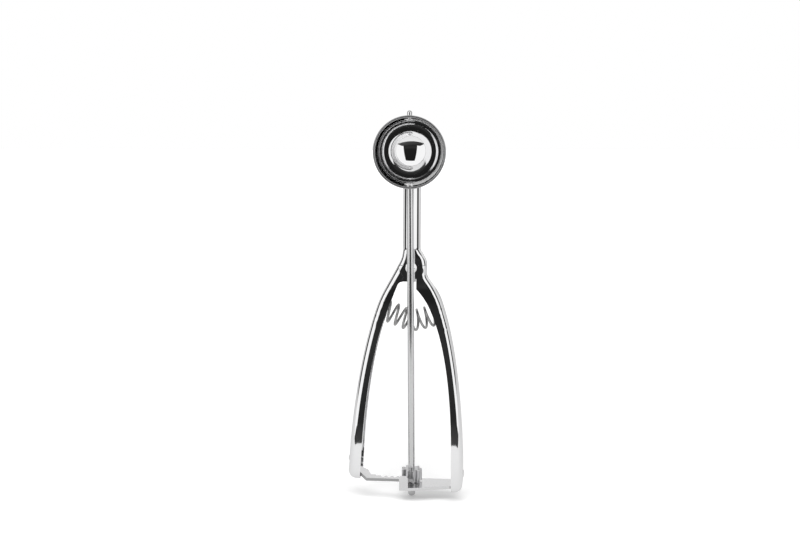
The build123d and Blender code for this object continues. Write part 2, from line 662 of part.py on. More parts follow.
def rack_rivet_places():
    """Places of the rivets that hold the rack's tab to the lever's web at rest, pointing inwards."""
    near, far = rack_tab_edges()
    base = ramp_meets_web(RACK_HEIGHT - RACK_THICKNESS / 2, SHEET)
    x, z = along_tab(base, RACK_TAB_HEIGHT - SMALL_HEAD_DIAMETER * 0.7)
    side = (far - near) / 2 - SMALL_HEAD_DIAMETER / 2
    return [Pos(x, (near + far) / 2 + s * side, z) * Rot(0, 90 + HALF_TRAVEL, 0) for s in (-1, 1)]


def rack_plate():
    """Toothed plate, bent up into a ramp and a tab that is riveted inside the lever."""
    t, half = RACK_THICKNESS, RACK_THICKNESS / 2
    pitch = pi * TOOTH_MODULE
    low, high = RACK_HEIGHT - half, RACK_HEIGHT + half
    fold = t * tan(radians(RACK_RAMP_ANGLE) / 2)
    outer = ramp_meets_web(low, SHEET + BOND_GAP)
    inner = ramp_meets_web(high + fold * tan(radians(RACK_RAMP_ANGLE)), SHEET + t)
    tab_top = along_tab(outer, RACK_TAB_HEIGHT)
    profile = make_face(
        Polyline(
            (RACK_END, low),
            (-RACK_RAMP_START, low),
            outer,
            tab_top,
            along_tab(tab_top, 0, t),
            inner,
            (-RACK_RAMP_START + fold, high),
            (RACK_END, high),
            (RACK_END, low),
        )
    )
    strip = extrude(Plane.XZ * profile, amount=FAR, both=True)
    near, far = rack_tab_edges()
    web = lever_web_x(0, 0)
    mouth = lever_web_x(RACK_HEIGHT, LEVER_FOOT_WIDTH)
    wide = grip_depth(RACK_HEIGHT) + GRIP_HALF_DEPTH - SHEET - RACK_EDGE_GAP
    plain_end = -RACK_ROOT_START - RACK_ROOT_LENGTH
    plain_y = RACK_TIP_Y + RACK_ROOT_STEP
    plan = make_face(
        Polyline(
            (web, near),
            (mouth - 2 * t, near),
            (-RACK_RAMP_START + fold, RACK_BACK_Y),
            (RACK_END, RACK_BACK_Y),
            (RACK_END, RACK_TIP_Y),
            (-RACK_ROOT_START, RACK_TIP_Y),
            (-RACK_ROOT_START, plain_y),
            (plain_end, plain_y),
            (-RACK_RAMP_START, wide),
            (mouth, far),
            (web, far),
            (web, near),
        )
    )
    first = -int((RACK_ROOT_START + RACK_PHASE) / pitch)
    last = int((RACK_END - RACK_PHASE) / pitch + 0.5)
    for k in range(first, last + 1):
        plan = plan - Pos(RACK_PHASE + (k + 0.5) * pitch, 0) * rack_tooth_space()
    plate = strip & extrude(plan, amount=FAR)
    for place in rack_rivet_places():
        plate = plate - place * Cylinder(SMALL_RIVET_DIAMETER / 2, 8)
    return plate


def rack_rivets():
    """Two rivets through the lever's web and the rack's tab, heads outside."""
    grip = SHEET + BOND_GAP + RACK_THICKNESS
    one = Pos(0, 0, -SHEET) * rivet(SMALL_RIVET_DIAMETER, SMALL_HEAD_DIAMETER, SMALL_HEAD_HEIGHT, grip, 0.6)
    return Compound([place * one for place in rack_rivet_places()])


def involute_half_angle(radius):
    """Half the angle of a pinion tooth at a radius, for an involute flank."""
    base = PITCH_R * cos(radians(PRESSURE_ANGLE))

    def inv(a):
        return tan(a) - a

    at_pitch = pi / (2 * PINION_TEETH) - BACKLASH / (4 * PITCH_R)
    return at_pitch + inv(radians(PRESSURE_ANGLE)) - inv(acos(min(1.0, base / radius)))


def pinion_section():
    """Outline of the pinion: involute flanks on a round root."""
    base = PITCH_R * cos(radians(PRESSURE_ANGLE))
    tip = PITCH_R + PINION_ADDENDUM
    root = PITCH_R - RACK_ADDENDUM - TOOTH_CLEARANCE
    steps = 4
    radii = [base + (tip - base) * (i / steps) ** 1.5 for i in range(steps + 1)]

    def at(radius, angle):
        return (radius * sin(angle), radius * cos(angle))

    right = [at(r, involute_half_angle(r)) for r in radii]
    left = [(-x, y) for x, y in right]
    inner = involute_half_angle(base)
    tooth = make_face(
        Spline(*right)
        + Spline(*left)
        + ThreePointArc(right[-1], (0, tip), left[-1])
        + Polyline(right[0], at(root - 0.3, inner), at(root - 0.3, -inner), left[0])
    )
    section = Circle(root)
    for k in range(PINION_TEETH):
        section = section + Rot(0, 0, k * 360 / PINION_TEETH) * tooth
    return section


def pinion_seat():
    """Height of the pinion's lower face, just clear of the bush flange."""
    return ARM_TOP + BUSH_FLANGE + RUNNING_CLEARANCE


def pinion():
    """Nine-tooth pinion on the shaft, in mesh with the rack behind it."""
    height = PINION_TOP - pinion_seat()
    gap_phase = degrees(RACK_PHASE / PITCH_R) + 180 + 180 / PINION_TEETH
    body = extrude(Rot(0, 0, gap_phase) * pinion_section(), amount=height)
    return Pos(0, 0, pinion_seat()) * (body - Cylinder(SHAFT_R, 4 * height))


# ------------------------------------------------------------------ shaft and blade
def shaft():
    """Shaft with a rounded foot, a clip groove and a flatted tenon riveted over in the bowl."""
    shoulder = BOWL_HEIGHT - HUB_SEAT_R
    foot_r = FOOT_DIAMETER / 2
    foot = Pos(0, 0, FOOT_LENGTH / 2) * Cylinder(foot_r, FOOT_LENGTH)
    foot = fillet(foot.edges().group_by(Axis.Z)[0], foot_r * 0.75)
    foot = chamfer(foot.edges().group_by(Axis.Z)[-1], (FOOT_DIAMETER - SHAFT_DIAMETER) / 2 - 0.01)
    rod = Pos(0, 0, (FOOT_LENGTH + shoulder) / 2) * Cylinder(SHAFT_R, shoulder - FOOT_LENGTH)
    tenon_length = BLADE_THICKNESS
    tenon = Cylinder(TENON_DIAMETER / 2, tenon_length) & Box(TENON_FLAT, TENON_DIAMETER, tenon_length)
    tenon = Pos(0, 0, shoulder + tenon_length / 2) * tenon
    head_height = 0.6
    head_r = TENON_DIAMETER / 2 + 0.4
    sphere_r = (head_r**2 + head_height**2) / (2 * head_height)
    head = Sphere(sphere_r) & Pos(0, 0, sphere_r) * Box(9, 9, 2 * head_height)
    head = Pos(0, 0, shoulder + tenon_length + head_height - sphere_r) * head
    groove = Cylinder(SHAFT_R + 1, CLIP_THICKNESS) - Cylinder(CLIP_GROOVE_DIAMETER / 2, CLIP_THICKNESS)
    body = foot + rod + tenon + head
    return body - Pos(0, 0, clip_height()) * groove


def clip_height():
    """Middle of the retaining clip, just below the arm."""
    return ARM_HEIGHT - RUNNING_CLEARANCE - CLIP_THICKNESS / 2


def shaft_clip():
    """Open retaining clip in the shaft's groove below the arm."""
    ring = Cylinder(CLIP_DIAMETER / 2, CLIP_THICKNESS) - Cylinder(CLIP_GROOVE_DIAMETER / 2, CLIP_THICKNESS)
    mouth = Pos(0, CLIP_DIAMETER / 2, 0) * Box(CLIP_MOUTH, CLIP_DIAMETER, CLIP_THICKNESS)
    return Pos(0, 0, clip_height()) * (ring - mouth)


def sweep_blade():
    """Scraper band that follows the bowl's inside from hub to hub."""
    inner_r = BLADE_R - BLADE_THICKNESS
    shell = Sphere(BLADE_R) - Sphere(inner_r)
    hub_r = BLADE_HUB_DIAMETER / 2
    outline = Pos((BLADE_R - hub_r) / 2 + 0.0, 0) * Rectangle(BLADE_R + hub_r, BLADE_WIDTH)
    outline = fillet(outline.vertices().group_by(Axis.X)[0], BLADE_WIDTH / 2 - 0.05)
    band = shell & extrude(outline, amount=BLADE_R + 1, both=True)
    seats = Box(3 * BLADE_R, 3 * BLADE_R, 2 * HUB_SEAT_R)
    band = band & seats
    hub = Cylinder(hub_r, BLADE_THICKNESS)
    hub_z = HUB_SEAT_R - BLADE_THICKNESS / 2
    band = band - Pos(0, 0, 0) * Cylinder(hub_r, 2 * (HUB_SEAT_R - BLADE_THICKNESS))
    blade = band + Pos(0, 0, hub_z) * hub + Pos(0, 0, -hub_z) * hub
    tenon_hole = Cylinder(TENON_DIAMETER / 2, 4) & Box(TENON_FLAT, TENON_DIAMETER, 4)
    turned = Rot(0, 0, BLADE_REST_ANGLE) * blade
    turned = turned - Pos(0, 0, -hub_z) * tenon_hole
    turned = turned - Pos(0, 0, hub_z) * Cylinder(TOP_PIN_DIAMETER / 2, 4)
    return Pos(0, 0, BOWL_HEIGHT) * turned


def blade_top_pin():
    """Pin through the top of the bowl, with a rounded nub outside and a riveted end inside."""
    nub_r = TOP_NUB_DIAMETER / 2
    pin_r = TOP_PIN_DIAMETER / 2
    base = BOWL_RADIUS + RUNNING_CLEARANCE
    inside = HUB_SEAT_R - BLADE_THICKNESS
    nub = Pos(0, 0, base + TOP_NUB_HEIGHT / 2) * Cylinder(nub_r, TOP_NUB_HEIGHT)
    nub = fillet(nub.edges().group_by(Axis.Z)[-1], nub_r * 0.9)
    pin = Pos(0, 0, (base + inside) / 2) * Cylinder(pin_r, base - inside)
    head_height = 0.5
    head_r = pin_r + 0.6
    sphere_r = (head_r**2 + head_height**2) / (2 * head_height)
    head = Sphere(sphere_r) & Pos(0, 0, -sphere_r) * Box(9, 9, 2 * head_height)
    head = Pos(0, 0, inside - head_height + sphere_r) * head
    return Pos(0, 0, BOWL_HEIGHT) * (nub + pin + head)


# ------------------------------------------------------------------ spring
def web_seat(rim, side):
    """Place on a handle's inner web surface at the spring's height; its +Z points inwards."""
    level = -SPRING_DROP - (SPRING_TILT if side > 0 else 0)
    for edge in rim.edges():
        ends = sorted(((edge @ 0).Y, (edge @ 1).Y))
        if ends[0] < level <= ends[1] and (edge @ 0.5).X * side > 0:
            low, high = (0, 1) if (edge @ 0).Y < (edge @ 1).Y else (1, 0)
            for _ in range(40):
                middle = (low + high) / 2
                if (edge @ middle).Y < level:
                    low = middle
                else:
                    high = middle
            point, along = edge @ low, edge % low
            normal = Vector(along.Y, -along.X, 0)
            normal = normal * (-side if normal.X > 0 else side)
            seat = point + normal * SHEET
            origin = (seat.X, grip_depth(PIVOT_HEIGHT + level), PIVOT_HEIGHT + seat.Y)
            return Plane(origin=origin, x_dir=(0, 1, 0), z_dir=(normal.X, 0, normal.Y))


def spring():
    """Compression spring, bowed between the two webs that it stands square on."""
    right = web_seat(fixed_outline()[1], 1)
    left = web_seat(lever_outline()[1], -1)
    coil_r = (SPRING_DIAMETER - SPRING_WIRE) / 2
    gap = STUD_SEAT_THICKNESS + SPRING_WIRE / 2 + SPRING_SEAT_GAP
    start = right.origin + right.z_dir * gap
    end = left.origin + left.z_dir * gap
    span = (end - start).length
    corners = (start, start + right.z_dir * (span * SPRING_BOW), end + left.z_dir * (span * SPRING_BOW), end)

    def axis(t):
        weights = ((1 - t) ** 3, 3 * t * (1 - t) ** 2, 3 * t * t * (1 - t), t**3)
        rates = (-((1 - t) ** 2), (1 - t) ** 2 - 2 * t * (1 - t), 2 * t * (1 - t) - t * t, t * t)
        point, rate = Vector(0, 0, 0), Vector(0, 0, 0)
        for corner, weight, speed in zip(corners, weights, rates):
            point, rate = point + corner * weight, rate + corner * speed
        return point, rate.normalized()

    steps = 240
    table = [0.0]
    for i in range(steps):
        table.append(table[-1] + (axis((i + 1) / steps)[0] - axis(i / steps)[0]).length)
    length = table[-1]
    closed = SPRING_WIRE * SPRING_END_TURNS
    active = SPRING_TURNS - 2 * SPRING_END_TURNS

    def along(turn):
        """Length along the axis after some turns, slower over the closed ends."""
        if turn < SPRING_END_TURNS:
            return closed * turn / SPRING_END_TURNS
        if turn > SPRING_TURNS - SPRING_END_TURNS:
            return length - closed * (SPRING_TURNS - turn) / SPRING_END_TURNS
        return closed + (length - 2 * closed) * (turn - SPRING_END_TURNS) / active

    def axis_share(distance):
        index = min(sum(1 for mark in table[1:] if mark < distance), steps - 1)
        return (index + (distance - table[index]) / (table[index + 1] - table[index])) / steps

    points = []
    count = int(SPRING_TURNS * 12)
    across = Vector(0, 1, 0)
    for i in range(count + 1):
        turn = SPRING_TURNS * i / count
        point, tangent = axis(axis_share(along(turn)))
        up = tangent.cross(across)
        angle = 2 * pi * turn + radians(SPRING_PHASE)
        points.append(point + across * (coil_r * cos(angle)) + up * (coil_r * sin(angle)))
    path = Spline(*points)
    section = Plane(origin=path @ 0, z_dir=path % 0) * Circle(SPRING_WIRE / 2)
    return sweep(section, path=path, is_frenet=True)


def spring_stud(handle_parts, side, edge_radius):
    """Seat with a stud, fixed inside a handle, that keeps the spring's end in place."""
    outline, rim = handle_parts
    _, cavity = pressed_channel(outline, rim, edge_radius)
    seat = web_seat(rim, side).location
    base = STUD_SEAT_THICKNESS + 1
    disc = Pos(0, 0, STUD_SEAT_THICKNESS - base / 2) * Cylinder(STUD_SEAT_DIAMETER / 2, base)
    boss_length = STUD_SEAT_THICKNESS + SPRING_WIRE
    boss = Pos(0, 0, boss_length / 2) * Cylinder(SPRING_DIAMETER / 2 - SPRING_WIRE - STUD_FIT, boss_length)
    pin = Pos(0, 0, STUD_LENGTH / 2) * Cylinder(STUD_DIAMETER / 2, STUD_LENGTH)
    pin = chamfer(pin.edges().group_by(Axis.Z)[-1], STUD_DIAMETER / 8)
    return (seat * (disc + boss + pin)) & cavity


def spring_stud_fixed():
    """Spring stud inside the fixed handle."""
    return spring_stud(fixed_outline(), 1, FIXED_EDGE_RADIUS)


def spring_stud_lever():
    """Spring stud inside the lever."""
    return spring_stud(lever_outline(), -1, LEVER_EDGE_RADIUS)


NODES = {
    "bowl": bowl,
    "bowl_bush": bowl_bush,
    "fixed_handle": fixed_handle,
    "base_arm": base_arm,
    "base_arm_rivets": arm_rivets,
    "base_bush": base_bush,
    "pivot_rivet": pivot_rivet,
    "pivot_spacer": pivot_spacer,
    "spring_stud_fixed": spring_stud_fixed,
    "spring": spring,
    "lever_handle": lever_handle,
    "rack_plate": rack_plate,
    "rack_rivets": rack_rivets,
    "spring_stud_lever": spring_stud_lever,
    "shaft": shaft,
    "pinion": pinion,
    "shaft_clip": shaft_clip,
    "sweep_blade": sweep_blade,
    "blade_top_pin": blade_top_pin,
}

if __name__ == "__main__":
    os.makedirs("parts", exist_ok=True)
    for name, build in NODES.items():
        shape = build()
        export_step(shape, f"parts/{name}.step")
        print(name, len(shape.solids()), round(shape.volume, 1))
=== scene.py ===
"""Dresses the lever ice cream scoop: polished pressed steel, a bright spring, and the studio around it.

Metres, +Z up along the shaft; the bowl opens towards -Y, the fixed handle is on +X and the lever on -X.
The grips' shapes are worked out in millimetres about the pivot and turned into metres at the end.
"""

import json
import math

import bmesh
import bpy
import numpy as np
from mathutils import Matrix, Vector


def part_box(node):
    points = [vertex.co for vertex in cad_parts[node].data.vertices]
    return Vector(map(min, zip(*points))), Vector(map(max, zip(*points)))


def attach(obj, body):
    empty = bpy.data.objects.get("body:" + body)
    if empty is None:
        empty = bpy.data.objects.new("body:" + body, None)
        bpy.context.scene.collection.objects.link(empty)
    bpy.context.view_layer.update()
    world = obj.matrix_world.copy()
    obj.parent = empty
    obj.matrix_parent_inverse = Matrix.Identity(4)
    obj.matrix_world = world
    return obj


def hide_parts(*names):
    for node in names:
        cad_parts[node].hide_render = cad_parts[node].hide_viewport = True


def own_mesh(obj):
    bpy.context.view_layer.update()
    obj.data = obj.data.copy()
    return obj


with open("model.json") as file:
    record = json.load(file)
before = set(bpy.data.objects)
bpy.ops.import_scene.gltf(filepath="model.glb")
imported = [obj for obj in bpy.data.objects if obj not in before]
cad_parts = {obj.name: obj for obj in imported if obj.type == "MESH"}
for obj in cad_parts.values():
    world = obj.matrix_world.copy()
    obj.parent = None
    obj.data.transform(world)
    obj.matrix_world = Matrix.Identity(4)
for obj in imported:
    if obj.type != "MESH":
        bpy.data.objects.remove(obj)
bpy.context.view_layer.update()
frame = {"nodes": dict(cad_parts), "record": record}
NODES = frame["nodes"]
BODIES = frame["record"]["behaviour"]["bodies"]
BODY_OF = {node: body for body, nodes in BODIES.items() for node in nodes}


# ------------------------------------------------------------------ finishes
TARNISHED = (0.55, 0.54, 0.52, 1)
MARK_DEPTH = 0.00005


def link(tree, source, target):
    """Joins an output socket to an input socket."""
    tree.links.new(source, target)


def add_node(tree, kind, **settings):
    """A new shader node with its settings."""
    node = tree.nodes.new(kind)
    for name, value in settings.items():
        setattr(node, name, value)
    return node


def set_inputs(node, values):
    """Sets a node's input sockets by name."""
    for name, value in values.items():
        node.inputs[name].default_value = value


def effect(name, inputs, outputs):
    """An empty node group with named sockets, and its two end nodes. A socket named Color carries a colour."""
    group = bpy.data.node_groups.new(name, "ShaderNodeTree")
    for in_out, sockets in (("INPUT", inputs), ("OUTPUT", outputs)):
        for socket in sockets:
            kind = "NodeSocketColor" if socket == "Color" else "NodeSocketFloat"
            group.interface.new_socket(name=socket, in_out=in_out, socket_type=kind)
    return group, add_node(group, "NodeGroupInput"), add_node(group, "NodeGroupOutput")


def empty_material(name):
    """A material with no nodes yet, and its node tree."""
    material = bpy.data.materials.new(name)
    material.use_nodes = True
    material.node_tree.nodes.clear()
    return material, material.node_tree


def polish_marks():
    """Node group: buffed metal, as a cloudy roughness and a slight change of tone."""
    group, inputs, outputs = effect(
        "polish_marks",
        ("Cloud Scale", "Roughness", "Haze", "Color", "Tarnish"),
        ("Roughness", "Color"),
    )
    coords = add_node(group, "ShaderNodeTexCoord")
    cloud = add_node(group, "ShaderNodeTexNoise")
    cloud.inputs["Detail"].default_value = 4
    link(group, coords.outputs["Object"], cloud.inputs["Vector"])
    link(group, inputs.outputs["Cloud Scale"], cloud.inputs["Scale"])
    haze = add_node(group, "ShaderNodeMath", operation="MULTIPLY")
    link(group, cloud.outputs["Fac"], haze.inputs[0])
    link(group, inputs.outputs["Haze"], haze.inputs[1])
    rough = add_node(group, "ShaderNodeMath", operation="ADD")
    link(group, haze.outputs[0], rough.inputs[0])
    link(group, inputs.outputs["Roughness"], rough.inputs[1])
    link(group, rough.outputs[0], outputs.inputs["Roughness"])
    tone = add_node(group, "ShaderNodeMath", operation="MULTIPLY")
    link(group, cloud.outputs["Fac"], tone.inputs[0])
    link(group, inputs.outputs["Tarnish"], tone.inputs[1])
    dark = add_node(group, "ShaderNodeMix", data_type="RGBA", blend_type="MULTIPLY")
    link(group, tone.outputs[0], dark.inputs["Factor"])
    link(group, inputs.outputs["Color"], dark.inputs["A"])
    dark.inputs["B"].default_value = TARNISHED
    link(group, dark.outputs["Result"], outputs.inputs["Color"])
    return group


def turned_grain():
    """Node group: tool marks, as a height for a bump. Its grain differs across and along the Z axis."""
    group, inputs, outputs = effect("turned_grain", ("Across", "Along"), ("Height",))
    coords = add_node(group, "ShaderNodeTexCoord")
    stretch = add_node(group, "ShaderNodeCombineXYZ")
    link(group, inputs.outputs["Across"], stretch.inputs["X"])
    link(group, inputs.outputs["Across"], stretch.inputs["Y"])
    link(group, inputs.outputs["Along"], stretch.inputs["Z"])
    scaled = add_node(group, "ShaderNodeVectorMath", operation="MULTIPLY")
    link(group, coords.outputs["Object"], scaled.inputs[0])
    link(group, stretch.outputs["Vector"], scaled.inputs[1])
    marks = add_node(group, "ShaderNodeTexNoise")
    set_inputs(marks, {"Detail": 3, "Scale": 1})
    link(group, scaled.outputs["Vector"], marks.inputs["Vector"])
    link(group, marks.outputs["Fac"], outputs.inputs["Height"])
    return group


POLISH = polish_marks()
GRAIN = turned_grain()


def metal(name, color, roughness, haze=0.03, tarnish=0.1, cloud=60.0, grain=None, metallic=1.0):
    """A metal finish: colour and roughness from the polish group, and a fine bump where it was cut or drawn.

    A metallic share below one is satin steel, whose fine scratches scatter the rest of the light.
    The grain is its scale across and along the Z axis, and its strength.
    """
    material = bpy.data.materials.new(name)
    material.use_nodes = True
    tree = material.node_tree
    shader = tree.nodes["Principled BSDF"]
    shader.inputs["Metallic"].default_value = metallic
    polish = add_node(tree, "ShaderNodeGroup", node_tree=POLISH)
    values = {"Cloud Scale": cloud, "Roughness": roughness, "Haze": haze, "Color": (*color, 1), "Tarnish": tarnish}
    set_inputs(polish, values)
    link(tree, polish.outputs["Roughness"], shader.inputs["Roughness"])
    link(tree, polish.outputs["Color"], shader.inputs["Base Color"])
    if grain:
        marks = add_node(tree, "ShaderNodeGroup", node_tree=GRAIN)
        set_inputs(marks, {"Across": grain[0], "Along": grain[1]})
        bump = add_node(tree, "ShaderNodeBump")
        set_inputs(bump, {"Strength": grain[2], "Distance": MARK_DEPTH})
        link(tree, marks.outputs["Height"], bump.inputs["Height"])
        link(tree, bump.outputs["Normal"], shader.inputs["Normal"])
    return material


def spun_rim():
    """Node group: a haze that grows from the inner to the outer distance from the bowl's own axis."""
    group, inputs, outputs = effect("spun_rim", ("Height", "Inner", "Outer", "Amount"), ("Haze",))
    coords = add_node(group, "ShaderNodeTexCoord")
    middle = add_node(group, "ShaderNodeCombineXYZ")
    link(group, inputs.outputs["Height"], middle.inputs["Z"])
    apart = add_node(group, "ShaderNodeVectorMath", operation="SUBTRACT")
    link(group, coords.outputs["Object"], apart.inputs[0])
    link(group, middle.outputs["Vector"], apart.inputs[1])
    flat = add_node(group, "ShaderNodeVectorMath", operation="MULTIPLY")
    link(group, apart.outputs["Vector"], flat.inputs[0])
    flat.inputs[1].default_value = (1, 0, 1)
    far = add_node(group, "ShaderNodeVectorMath", operation="LENGTH")
    link(group, flat.outputs["Vector"], far.inputs[0])
    grow = add_node(group, "ShaderNodeMapRange")
    link(group, far.outputs["Value"], grow.inputs["Value"])
    link(group, inputs.outputs["Inner"], grow.inputs["From Min"])
    link(group, inputs.outputs["Outer"], grow.inputs["From Max"])
    link(group, inputs.outputs["Amount"], grow.inputs["To Max"])
    link(group, grow.outputs[0], outputs.inputs["Haze"])
    return group


def add_rim_haze(material, height, inner, outer, amount):
    """Adds the spun rim's haze to a metal's roughness."""
    tree = material.node_tree
    shader = tree.nodes["Principled BSDF"]
    base = shader.inputs["Roughness"].links[0].from_socket
    rim = add_node(tree, "ShaderNodeGroup", node_tree=spun_rim())
    set_inputs(rim, {"Height": height, "Inner": inner, "Outer": outer, "Amount": amount})
    total = add_node(tree, "ShaderNodeMath", operation="ADD")
    link(tree, base, total.inputs[0])
    link(tree, rim.outputs["Haze"], total.inputs[1])
    link(tree, total.outputs[0], shader.inputs["Roughness"])


CHROME = {"color": (0.93, 0.93, 0.935), "roughness": 0.02, "haze": 0.015, "tarnish": 0.04}
mirror_chrome = metal("mirror_chrome", **CHROME)
bowl_chrome = metal("bowl_chrome", **CHROME)
BOWL_LEVEL = sum(corner[2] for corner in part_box("bowl")) / 2
add_rim_haze(bowl_chrome, BOWL_LEVEL, inner=0.0165, outer=0.0205, amount=0.13)
base_plate_steel = metal(
    "base_plate_steel", (0.86, 0.86, 0.865), 0.12, haze=0.08, tarnish=0.12, grain=(900, 900, 0.15)
)
rivet_steel = metal("rivet_steel", (0.9, 0.9, 0.9), 0.06, haze=0.04, tarnish=0.08)
shaft_steel = metal("shaft_steel", (0.74, 0.74, 0.745), 0.13, haze=0.04, tarnish=0.08)
sheared_edge = metal(
    "sheared_edge", (0.5, 0.5, 0.505), 0.3, haze=0.12, tarnish=0.3, cloud=300, grain=(4000, 4000, 0.3)
)
spring_wire = metal("spring_wire", (0.5, 0.5, 0.5), 0.28, haze=0.08, tarnish=0.3, cloud=400)
gear_steel = metal(
    "gear_steel", (0.72, 0.72, 0.73), 0.24, haze=0.1, tarnish=0.3, cloud=300, grain=(3000, 200, 0.3)
)
scraper_steel = metal(
    "scraper_steel", (0.85, 0.85, 0.855), 0.16, haze=0.05, tarnish=0.25, cloud=90, metallic=0.3
)
pin_steel = metal("pin_steel", (0.92, 0.92, 0.92), 0.05, haze=0.03, tarnish=0.05)
# Painted shade: a darker colour for the bowl's rim, standing in for the dark reflection it shows.
rim_painted_dark = metal("rim_painted_dark", (0.42, 0.42, 0.425), 0.1, haze=0.05, tarnish=0.15, cloud=150)
bush_steel = metal("bush_steel", (0.7, 0.7, 0.7), 0.2, haze=0.1, tarnish=0.3)
clip_steel = metal("clip_steel", (0.3, 0.3, 0.31), 0.35, haze=0.1, tarnish=0.3)
stud_steel = metal("stud_steel", (0.62, 0.62, 0.63), 0.25, haze=0.1, tarnish=0.2)

FINISH = {
    "bowl": bowl_chrome,
    "bowl_bush": bush_steel,
    "fixed_handle": mirror_chrome,
    "base_arm": base_plate_steel,
    "base_arm_rivets": rivet_steel,
    "base_bush": bush_steel,
    "pivot_rivet": rivet_steel,
    "pivot_spacer": stud_steel,
    "spring_stud_fixed": stud_steel,
    "spring": spring_wire,
    "lever_handle": mirror_chrome,
    "rack_plate": base_plate_steel,
    "rack_rivets": rivet_steel,
    "spring_stud_lever": stud_steel,
    "shaft": shaft_steel,
    "pinion": gear_steel,
    "shaft_clip": clip_steel,
    "sweep_blade": scraper_steel,
    "blade_top_pin": pin_steel,
}
# Width of the eased edges of the pressed and sheared pieces.
EASED = {"fixed_handle": 0.0003, "lever_handle": 0.00018, "base_arm": 0.00015, "rack_plate": 0.00012}


# ------------------------------------------------------------------ pieces
CRISP_ABOVE = math.radians(32)
EASED_ABOVE = math.radians(50)
IN_PLANE = 1e-6
WELD = 2e-6
FACE_AREA_WEIGHT = 90
EDGE_SEGMENTS = 2
RIM_DEPTH = 0.0011
HEAVIER_WIRE = 0.0001


def smooth_shell(shell, joint=None):
    """Smooth faces, crisp edges over one angle, and a bevel weight on every edge over another that is to be eased.

    An edge that lies in the joint plane (point, direction) is a hidden seam and gets no weight.
    """
    weights = shell.edges.layers.float.new("bevel_weight_edge")
    for face in shell.faces:
        face.smooth = True
    for edge in shell.edges:
        turn = edge.calc_face_angle(0) if len(edge.link_faces) == 2 else math.pi
        edge.smooth = turn < CRISP_ABOVE
        seam = joint and all(abs((corner.co - joint[0]).dot(joint[1])) < IN_PLANE for corner in edge.verts)
        edge[weights] = 1.0 if turn > EASED_ABOVE and not seam else 0.0


def smooth_piece(name, shell, ease=0.0, joint=None):
    """An object of a closed shell, with its edges eased and its normals weighed by face area."""
    smooth_shell(shell, joint)
    mesh = bpy.data.meshes.new(name)
    shell.to_mesh(mesh)
    shell.free()
    piece = bpy.data.objects.new(name, mesh)
    bpy.context.scene.collection.objects.link(piece)
    if ease:
        soften = piece.modifiers.new("eased_edges", "BEVEL")
        soften.width = ease
        soften.segments = EDGE_SEGMENTS
        soften.limit_method = "WEIGHT"
        soften.use_clamp_overlap = True
        soften.harden_normals = True
    weigh = piece.modifiers.new("even_shading", "WEIGHTED_NORMAL")
    weigh.keep_sharp = True
    weigh.weight = FACE_AREA_WEIGHT
    return piece


def merged_copy(node):
    """A CAD node's loose triangles as one closed shell."""
    shell = bmesh.new()
    shell.from_mesh(NODES[node].data)
    bmesh.ops.remove_doubles(shell, verts=shell.verts, dist=WELD)
    return shell


# ------------------------------------------------------------------ grips
# A grip is a pressed channel carried along the handle's rim. Millimetres about the pivot, as (x, z).
MM = 0.001
PIVOT_HEIGHT = 140.3
PIVOT = Vector((0.0, 0.0, PIVOT_HEIGHT * MM))
SHEET = 0.9
GRIP_HALF_DEPTH = 7.8
# The middle of the grips lies this far behind the shaft at this height, and leans forward going down.
GRIP_MIDDLE, GRIP_MIDDLE_AT, LEAN = 9.98, -22.0, math.tan(math.radians(7.0))
# Degrees from the lever at rest to the middle of its travel, where its grip is drawn.
HALF_TRAVEL = 3.35603
FOOT_RADIUS = 4.6
FOOT_STRAIGHT = 16.0
FIXED_CORNER, LEVER_CORNER = 3.1, 3.7
FIXED_BOTTOM, FIXED_REACH, FIXED_FOOT_WIDTH = -134.0, 31.2, 6.9
LEVER_BOTTOM, LEVER_REACH, LEVER_FOOT_WIDTH = 11.4 - PIVOT_HEIGHT, 30.2, 7.3
# The fixed grip leaves the head at the hip, and its flange's edge leaves the gusset beside the pivot.
HIP, HIP_ANGLE = (12.3, -10.6), 33
GUSSET, GUSSET_ANGLE = (3.0, -12.8), 45
# The lever's grip leaves the head below the bend of the shoulder.
BEND_DROP, BEND_ANGLE = 13.4, 29.0
BEND = (-5.3 - (6.2 + BEND_DROP) * math.tan(math.radians(BEND_ANGLE)), -BEND_DROP)
LEVER_EDGE, LEVER_EDGE_ANGLE = (-8.8, -12.0), -22
# Share of the rim curve at which the grip is joined to the head.
JOINT_SHARE = (1 / 3) ** 1.2
# How far each end of a curve holds its heading, as a share of the span.
FIXED_PULL, FIXED_EDGE_PULL = (0.26, 0.16), (0.3, 0.1)
LEVER_PULL, LEVER_EDGE_PULL = (0.22, 0.3), (0.155, 0.6)
GRIP_STATIONS, EDGE_SAMPLES = 110, 1500
LEG_STATIONS, TURN_STATIONS, BASE_STATIONS = 13, 19, 4
FLANGE_POINTS, CORNER_POINTS, WEB_POINTS = 5, 13, 7
FINE_WELD = 1e-7


def toward(angle):
    """Unit direction at an angle in degrees from straight down, positive towards +X."""
    return np.array((math.sin(math.radians(angle)), -math.cos(math.radians(angle))))


def turned(points, angle):
    """Points (x, z) turned about the pivot by an angle in degrees: x cos + z sin, z cos - x sin."""
    c, s = math.cos(math.radians(angle)), math.sin(math.radians(angle))
    points = np.asarray(points, float)
    return np.stack((points[..., 0] * c + points[..., 1] * s, points[..., 1] * c - points[..., 0] * s), -1)


